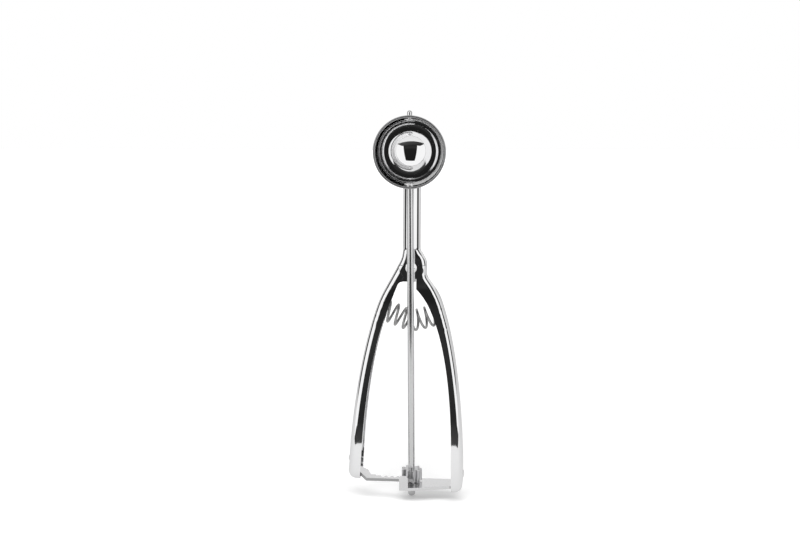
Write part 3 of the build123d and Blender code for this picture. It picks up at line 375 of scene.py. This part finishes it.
def bow(start, start_angle, end, end_angle, pull, t):
    """A cubic curve: each end pulled along its heading by a share of the span. Returns points and unit headings."""
    start, end = np.asarray(start, float), np.asarray(end, float)
    span = np.linalg.norm(end - start)
    near = start + pull[0] * span * toward(start_angle)
    far = end - pull[1] * span * toward(end_angle)
    t = t[:, None]
    rest = 1 - t
    points = rest**3 * start + 3 * t * rest**2 * near + 3 * t * t * rest * far + t**3 * end
    rate = rest**2 * (near - start) + 2 * t * rest * (far - near) + t * t * (end - far)
    return points, rate / np.linalg.norm(rate, axis=1, keepdims=True)


def foot_rim(outer_x, bottom, foot_top, inner_x):
    """The rim below a grip, upright, as points and headings: straight leg, quarter turn, flat base."""
    side = 1.0 if outer_x > 0 else -1.0
    down = np.linspace(foot_top, bottom + FOOT_RADIUS, LEG_STATIONS + 1)[1:]
    turn = np.linspace(0, math.pi / 2, TURN_STATIONS + 1)[1:]
    along = np.linspace(outer_x - side * FOOT_RADIUS, inner_x, BASE_STATIONS + 1)[1:]
    leg = np.stack((np.full_like(down, outer_x), down), -1)
    centre = np.array((outer_x - side * FOOT_RADIUS, bottom + FOOT_RADIUS))
    corner = centre + FOOT_RADIUS * np.stack((side * np.cos(turn), -np.sin(turn)), -1)
    base = np.stack((along, np.full_like(along, bottom)), -1)
    points = np.concatenate((leg, corner, base))
    zeros, ones = np.zeros_like, np.ones_like
    ways = np.concatenate(
        (
            np.stack((zeros(down), -ones(down)), -1),
            np.stack((-side * np.sin(turn), -np.cos(turn)), -1),
            np.stack((-side * ones(along), zeros(along)), -1),
        )
    )
    return points, ways


def foot_edge(foot, inner_x, bottom, corner):
    """The flange's inner edge beside a foot: level with the rim down the leg, then down to the rounded corner."""
    edge = np.stack((np.full(len(foot), inner_x), foot[:, 1]), -1)
    below = len(foot) - LEG_STATIONS
    edge[LEG_STATIONS:, 1] = np.linspace(bottom + FOOT_RADIUS, bottom + corner, below + 1)[1:]
    return edge


def inner_points(rim, ways, edge):
    """Where the section plane of each rim point, square to its heading, meets the densely sampled inner edge."""
    off = np.einsum("sk,mk->ms", edge, ways) - np.sum(rim * ways, axis=1)[:, None]
    rows = np.arange(len(rim))
    nearest = np.argmin(np.abs(off), axis=1)
    before = np.clip(nearest - (off[rows, nearest] > 0), 0, len(edge) - 2)
    low, high = off[rows, before], off[rows, before + 1]
    share = np.clip(-low / (high - low), 0, 1)[:, None]
    return edge[before] * (1 - share) + edge[before + 1] * share


def channel_section(radius):
    """The section's outer and inner lines, as points (distance in from the rim, depth, share of the flange).

    Each line runs from a flange's edge round one corner, across the web and round the other corner back.
    """
    share = np.linspace(1, 0, FLANGE_POINTS)
    arc = np.linspace(0, math.pi / 2, CORNER_POINTS)[1:]
    web = np.linspace(-1, 1, WEB_POINTS)[1:-1]

    def line(inset):
        r, depth = radius - inset, GRIP_HALF_DEPTH - inset
        flange = np.stack((np.full_like(share, radius), np.full_like(share, -depth), share), -1)
        rounded = np.stack((radius - r * np.sin(arc), -(depth - r) - r * np.cos(arc), 0 * arc), -1)
        front = np.concatenate((flange, rounded))
        middle = np.stack((np.full_like(web, inset), web * (depth - r), 0 * web), -1)
        return np.concatenate((front, middle, front[::-1] * (1, -1, 1)))

    return line(0.0), line(SHEET)


def grip_channel(rim, ways, inner_edge, radius, side):
    """A closed shell: the channel section carried along the rim, each section square to the rim's heading.

    A point of the section lies at rim + inward * distance + share * (inner edge - end of the rounded corner); its
    depth is counted from the leaning middle line of the grips. Both ends are closed by quads across the wall.
    """
    outer, inner = channel_section(radius)
    loop = np.concatenate((outer, inner[::-1]))
    inward = side * np.stack((-ways[:, 1], ways[:, 0]), -1)
    flange_way = inner_edge - (rim + inward * radius)
    flat = rim[:, None] + inward[:, None] * loop[None, :, :1] + flange_way[:, None] * loop[None, :, 2:]
    depth = GRIP_MIDDLE + (flat[..., 1] - GRIP_MIDDLE_AT) * LEAN + loop[None, :, 1]
    points = np.stack((flat[..., 0], depth, flat[..., 1]), -1).reshape(-1, 3) * MM + np.array(PIVOT)
    stations, around = len(rim), len(loop)
    station, place = np.meshgrid(np.arange(stations - 1), np.arange(around), indexing="ij")
    after = (place + 1) % around
    here, there = station * around, (station + 1) * around
    skin = np.stack((here + place, here + after, there + after, there + place), -1).reshape(-1, 4)
    step = np.arange(around // 2 - 1)
    cap = np.stack((step, around - 1 - step, around - 2 - step, step + 1), -1)
    faces = np.concatenate((skin, cap, cap[:, ::-1] + (stations - 1) * around))
    mesh = bpy.data.meshes.new("channel")
    mesh.from_pydata(points.tolist(), [], faces.tolist())
    shell = bmesh.new()
    shell.from_mesh(mesh)
    bpy.data.meshes.remove(mesh)
    bmesh.ops.remove_doubles(shell, verts=shell.verts, dist=FINE_WELD)
    bmesh.ops.recalc_face_normals(shell, faces=shell.faces)
    return shell


def handle_with_grip(node, rim, ways, inner_edge, radius, side):
    """The CAD node's head, cut square at the first rim point, and the grip carried on from there.

    Returns the shell and the joint plane, as a point and a direction.
    """
    shell = merged_copy(node)
    corner = PIVOT + Vector((rim[0, 0], 0.0, rim[0, 1])) * MM
    way = Vector((ways[0, 0], 0.0, ways[0, 1]))
    geometry = shell.verts[:] + shell.edges[:] + shell.faces[:]
    cut = bmesh.ops.bisect_plane(
        shell, geom=geometry, dist=FINE_WELD, plane_co=corner, plane_no=way, clear_outer=True
    )
    seam = [edge for edge in cut["geom_cut"] if isinstance(edge, bmesh.types.BMEdge)]
    bmesh.ops.holes_fill(shell, edges=seam, sides=0)
    grip = grip_channel(rim, ways, inner_edge, radius, side)
    carrier = bpy.data.meshes.new("grip")
    grip.to_mesh(carrier)
    grip.free()
    shell.from_mesh(carrier)
    bpy.data.meshes.remove(carrier)
    return shell, (corner, way)


def fixed_handle():
    """Fixed handle: the rim bows from the hip to the foot, and the foot turns in at the base plate."""
    foot_top, inner_x = FIXED_BOTTOM + FOOT_STRAIGHT, FIXED_REACH - FIXED_FOOT_WIDTH
    stations, samples = np.linspace(JOINT_SHARE, 1, GRIP_STATIONS), np.linspace(0, 1, EDGE_SAMPLES)
    grip, grip_ways = bow(HIP, HIP_ANGLE, (FIXED_REACH, foot_top), 0, FIXED_PULL, stations)
    foot, foot_ways = foot_rim(FIXED_REACH, FIXED_BOTTOM, foot_top, inner_x)
    edge, _ = bow(GUSSET, GUSSET_ANGLE, (inner_x, foot_top), 0, FIXED_EDGE_PULL, samples)
    beside = inner_points(grip, grip_ways, edge)
    below = foot_edge(foot, inner_x, FIXED_BOTTOM, FIXED_CORNER)
    rim, ways = np.concatenate((grip, foot)), np.concatenate((grip_ways, foot_ways))
    return rim, ways, np.concatenate((beside, below)), FIXED_CORNER, -1.0


def lever_handle():
    """Lever: the grip is drawn at mid-travel, where the foot stands turned by the same angle from its rest place."""
    foot_top, inner_x = LEVER_BOTTOM + FOOT_STRAIGHT, -LEVER_REACH + LEVER_FOOT_WIDTH
    stations, samples = np.linspace(JOINT_SHARE, 1, GRIP_STATIONS), np.linspace(0, 1, EDGE_SAMPLES)
    end, edge_end = turned((-LEVER_REACH, foot_top), HALF_TRAVEL), turned((inner_x, foot_top), HALF_TRAVEL)
    grip, grip_ways = bow(BEND, -BEND_ANGLE, end, -HALF_TRAVEL, LEVER_PULL, stations)
    foot, foot_ways = foot_rim(-LEVER_REACH, LEVER_BOTTOM, foot_top, inner_x)
    edge, _ = bow(LEVER_EDGE, LEVER_EDGE_ANGLE, edge_end, -HALF_TRAVEL, LEVER_EDGE_PULL, samples)
    beside = inner_points(grip, grip_ways, edge)
    below = turned(foot_edge(foot, inner_x, LEVER_BOTTOM, LEVER_CORNER), HALF_TRAVEL)
    rim = np.concatenate((grip, turned(foot, HALF_TRAVEL)))
    ways = np.concatenate((grip_ways, turned(foot_ways, HALF_TRAVEL)))
    return rim, ways, np.concatenate((beside, below)), LEVER_CORNER, 1.0


def finish(piece, node, material):
    """Gives a piece its material, body and slot, and has it replace its CAD node."""
    piece.data.materials.clear()
    piece.data.materials.append(material)
    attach(piece, BODY_OF[node])
    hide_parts(node)


def of_faces(mesh, what):
    """A value of every face of a mesh as rows of three: "normal" or "center"."""
    values = np.empty(len(mesh.polygons) * 3, np.float32)
    mesh.polygons.foreach_get(what, values)
    return values.reshape(-1, 3)


def second_finish(mesh, material, chosen):
    """Puts a second finish on the chosen faces."""
    mesh.materials.append(material)
    mesh.polygons.foreach_set("material_index", chosen.astype(np.int32))


def sheared_faces(mesh):
    """The upright cut edges of a plate: faces whose normal lies nearly along Y."""
    normals = of_faces(mesh, "normal")
    return (np.abs(normals[:, 1]) > 0.5) & (np.abs(normals[:, 2]) < 0.2)


def painted_rim_faces(mesh):
    """The bowl's rolled rim: the foremost faces, down to the rim's depth, which get a darker colour as a painted
    reflection of the dark studio in front.
    """
    reach = of_faces(mesh, "center")[:, 1]
    return reach < np.min(reach) + RIM_DEPTH


def fattened(shell, by):
    """Moves every point outwards along its normal: wire drawn a little heavier."""
    mesh = bpy.data.meshes.new("fattened")
    shell.to_mesh(mesh)
    places, normals = np.empty((2, len(mesh.vertices) * 3), np.float32)
    mesh.vertices.foreach_get("co", places)
    mesh.vertices.foreach_get("normal", normals)
    mesh.vertices.foreach_set("co", places + normals * by)
    shell.clear()
    shell.from_mesh(mesh)
    bpy.data.meshes.remove(mesh)
    return shell


GRIPS = {"fixed_handle": fixed_handle, "lever_handle": lever_handle}
for node, material in FINISH.items():
    joint = None
    if node in GRIPS:
        shell, joint = handle_with_grip(node, *GRIPS[node]())
    else:
        shell = merged_copy(node)
    if node == "spring":
        shell = fattened(shell, HEAVIER_WIRE)
    piece = smooth_piece(node + "_polished", shell, EASED.get(node, 0.0), joint)
    finish(piece, node, material)
    if node == "rack_plate":
        second_finish(piece.data, sheared_edge, sheared_faces(piece.data))
    if node == "spring":
        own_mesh(piece)
    # Painted shade: the bowl's rim faces get the darker colour of a painted dark reflection.
    if node == "bowl":
        second_finish(piece.data, rim_painted_dark, painted_rim_faces(piece.data))

# ------------------------------------------------------------------ camera
camera_data = bpy.data.cameras.new("studio_camera")
camera_data.sensor_width = 36.0
camera_data.lens = 49.635
camera_data.clip_start = 0.01
camera = bpy.data.objects.new("studio_camera", camera_data)
camera.location = (0.0550585, -0.6315874, 0.2650934)
camera.rotation_euler = tuple(math.radians(turn) for turn in (79.010206, 0.402857, 5.457065))
bpy.context.scene.collection.objects.link(camera)
bpy.context.scene.camera = camera


# ------------------------------------------------------------------ studio
# The paper's tone, the one that metal mirrors, and the one that metal passes on after a matte bounce, which is near
# black: painted shade under the base plates.
PAPER, MIRRORED_PAPER, PAINTED_SHADE_PAPER = 0.8, 0.38, 0.06
# How far the paper is lifted: to the camera, from near the object to far from it, and to metal. The smaller lift
# near the object is painted shade around it.
NEAR, FAR, NEAR_LIFT, FAR_LIFT, METAL_LIFT = 0.06, 0.7, 0.34, 0.9, 0.35
# What metal sees of the studio from the camera's side round to the back: white, a dark belt, pale.
BELT = [(0.0, 1.0), (0.345, 1.0), (0.365, 0.03), (0.585, 0.03), (0.62, 0.7), (1.0, 0.8)]


def grey(value):
    """A colour without hue."""
    return (value, value, value, 1)


def flat_card(name, corners, material, seen=False):
    """A flat four-cornered card of the studio, which only the metal sees unless it is seen."""
    mesh = bpy.data.meshes.new(name)
    mesh.from_pydata(corners, [], [(0, 1, 2, 3)])
    card = bpy.data.objects.new(name, mesh)
    mesh.materials.append(material)
    bpy.context.scene.collection.objects.link(card)
    card.visible_camera = seen


def ramp_of(tree, stops):
    """A grey ramp node from (position, value) stops."""
    node = add_node(tree, "ShaderNodeValToRGB")
    ramp = node.color_ramp
    ramp.elements[0].position, ramp.elements[1].position = stops[0][0], stops[-1][0]
    for position, _ in stops[1:-1]:
        ramp.elements.new(position)
    for element, (_, value) in zip(ramp.elements, stops):
        element.color = grey(value)
    return node


def graded(name, lean, start, end, stops):
    """A dim card whose glow changes along one direction, from start to end of the position's product with lean."""
    material, tree = empty_material(name)
    light = add_node(tree, "ShaderNodeEmission")
    out = add_node(tree, "ShaderNodeOutputMaterial")
    link(tree, light.outputs[0], out.inputs["Surface"])
    coords = add_node(tree, "ShaderNodeTexCoord")
    along = add_node(tree, "ShaderNodeVectorMath", operation="DOT_PRODUCT")
    along.inputs[1].default_value = lean
    link(tree, coords.outputs["Object"], along.inputs[0])
    spread = add_node(tree, "ShaderNodeMapRange")
    link(tree, along.outputs["Value"], spread.inputs["Value"])
    set_inputs(spread, {"From Min": start, "From Max": end})
    tones = ramp_of(tree, stops)
    link(tree, spread.outputs[0], tones.inputs["Fac"])
    link(tree, tones.outputs["Color"], light.inputs["Color"])
    return material


def floor_material():
    """White paper: a matte white that also shows itself to the camera, so that only the contact shadow reads; its
    glow is kept lower near the object, a painted shade that deepens that shadow.
    """
    material, tree = empty_material("studio_floor")
    matte = add_node(tree, "ShaderNodeBsdfDiffuse")
    paths = add_node(tree, "ShaderNodeLightPath")
    direct = add_node(tree, "ShaderNodeMath", operation="LESS_THAN")
    link(tree, paths.outputs["Diffuse Depth"], direct.inputs[0])
    direct.inputs[1].default_value = 0.5  # true before the first matte bounce
    # Painted shade: after a matte bounce the paper that metal shows is near black, which darkens the floor under the
    # base plates.
    behind = add_node(tree, "ShaderNodeMix", data_type="RGBA")
    behind.inputs["A"].default_value = grey(PAINTED_SHADE_PAPER)
    behind.inputs["B"].default_value = grey(MIRRORED_PAPER)
    link(tree, direct.outputs[0], behind.inputs["Factor"])
    tint = add_node(tree, "ShaderNodeMix", data_type="RGBA")
    tint.inputs["A"].default_value = grey(PAPER)
    link(tree, behind.outputs["Result"], tint.inputs["B"])
    link(tree, paths.outputs["Is Glossy Ray"], tint.inputs["Factor"])
    link(tree, tint.outputs["Result"], matte.inputs["Color"])
    light = add_node(tree, "ShaderNodeEmission")
    coords = add_node(tree, "ShaderNodeTexCoord")
    reach = add_node(tree, "ShaderNodeVectorMath", operation="LENGTH")
    link(tree, coords.outputs["Object"], reach.inputs[0])
    # Painted shade: the paper's glow to the camera rises from NEAR_LIFT near the object to FAR_LIFT far from it.
    rise = add_node(tree, "ShaderNodeMapRange")
    link(tree, reach.outputs["Value"], rise.inputs["Value"])
    set_inputs(rise, {"From Min": NEAR, "From Max": FAR, "To Min": NEAR_LIFT, "To Max": FAR_LIFT})
    shown = add_node(tree, "ShaderNodeMath", operation="MULTIPLY")
    link(tree, paths.outputs["Is Camera Ray"], shown.inputs[0])
    link(tree, rise.outputs[0], shown.inputs[1])
    mirrored = add_node(tree, "ShaderNodeMath", operation="MULTIPLY")
    link(tree, paths.outputs["Is Glossy Ray"], mirrored.inputs[0])
    link(tree, direct.outputs[0], mirrored.inputs[1])
    lift = add_node(tree, "ShaderNodeMath", operation="MULTIPLY_ADD")
    link(tree, mirrored.outputs[0], lift.inputs[0])
    lift.inputs[1].default_value = METAL_LIFT
    link(tree, shown.outputs[0], lift.inputs[2])
    link(tree, lift.outputs[0], light.inputs["Strength"])
    both = add_node(tree, "ShaderNodeAddShader")
    link(tree, matte.outputs[0], both.inputs[0])
    link(tree, light.outputs[0], both.inputs[1])
    out = add_node(tree, "ShaderNodeOutputMaterial")
    link(tree, both.outputs[0], out.inputs["Surface"])
    return material


def softbox(name, size, energy, place, tip):
    """A square area light, tipped about X, that lights the floor but isn't mirrored in the metal."""
    light = bpy.data.lights.new(name, "AREA")
    light.shape, light.size, light.energy = "SQUARE", size, energy
    lamp = bpy.data.objects.new(name, light)
    lamp.location = place
    lamp.rotation_euler = (math.radians(tip), 0.0, 0.0)
    lamp.visible_glossy = False
    bpy.context.scene.collection.objects.link(lamp)


def across(half, near, far, height):
    """Corners of a level card between two depths."""
    return [(-half, near, height), (half, near, height), (half, far, height), (-half, far, height)]


# The paper ends at the camera's side, where a dim gap and a dim upright card show in the bowl as a dark T.
PAPER_EDGE, GAP_END, SINK = -0.33, -0.7, -0.01
flat_card("studio_floor", across(1.6, PAPER_EDGE, 2.4, 0.0), floor_material(), seen=True)
flat_card(
    "floor_gap",
    across(0.44, GAP_END, PAPER_EDGE, SINK),
    graded("dim_floor", (0.35, 1.0, 0.0), -0.7, -0.3, [(0.0, 0.022), (0.3, 0.04), (0.7, 0.055), (1.0, 0.09)]),
)
flat_card(
    "camera_side",
    [(-0.27, -0.69, SINK), (0.36, -0.69, SINK), (0.27, -0.69, 0.72), (-0.18, -0.69, 0.72)],
    graded("dim_side", (0.0, 0.0, 1.0), 0.0, 0.66, [(0.0, 0.022), (0.12, 0.03), (0.26, 0.015), (1.0, 0.012)]),
)
softbox("front_softbox", 1.0, 10.0, (0.0, -0.5, 0.8), -32)


def studio_world():
    """White to the camera. To metal it is a studio: white at the camera's side, a dark belt, pale at the back."""
    world = bpy.data.worlds.new("studio_world")
    bpy.context.scene.world = world
    world.use_nodes = True
    tree = world.node_tree
    tree.nodes.clear()
    coords = add_node(tree, "ShaderNodeTexCoord")
    parts = add_node(tree, "ShaderNodeSeparateXYZ")
    link(tree, coords.outputs["Generated"], parts.inputs[0])
    ahead = add_node(tree, "ShaderNodeMapRange")
    link(tree, parts.outputs["Y"], ahead.inputs["Value"])
    set_inputs(ahead, {"From Min": -1, "From Max": 1})
    belt = ramp_of(tree, BELT)
    link(tree, ahead.outputs[0], belt.inputs["Fac"])
    paths = add_node(tree, "ShaderNodeLightPath")
    shown = add_node(tree, "ShaderNodeMix", data_type="RGBA")
    link(tree, paths.outputs["Is Camera Ray"], shown.inputs["Factor"])
    link(tree, belt.outputs["Color"], shown.inputs["A"])
    shown.inputs["B"].default_value = grey(1)
    back = add_node(tree, "ShaderNodeBackground")
    link(tree, shown.outputs["Result"], back.inputs["Color"])
    out = add_node(tree, "ShaderNodeOutputWorld")
    link(tree, back.outputs[0], out.inputs["Surface"])


studio_world()
bpy.context.scene.view_settings.view_transform = "Standard"
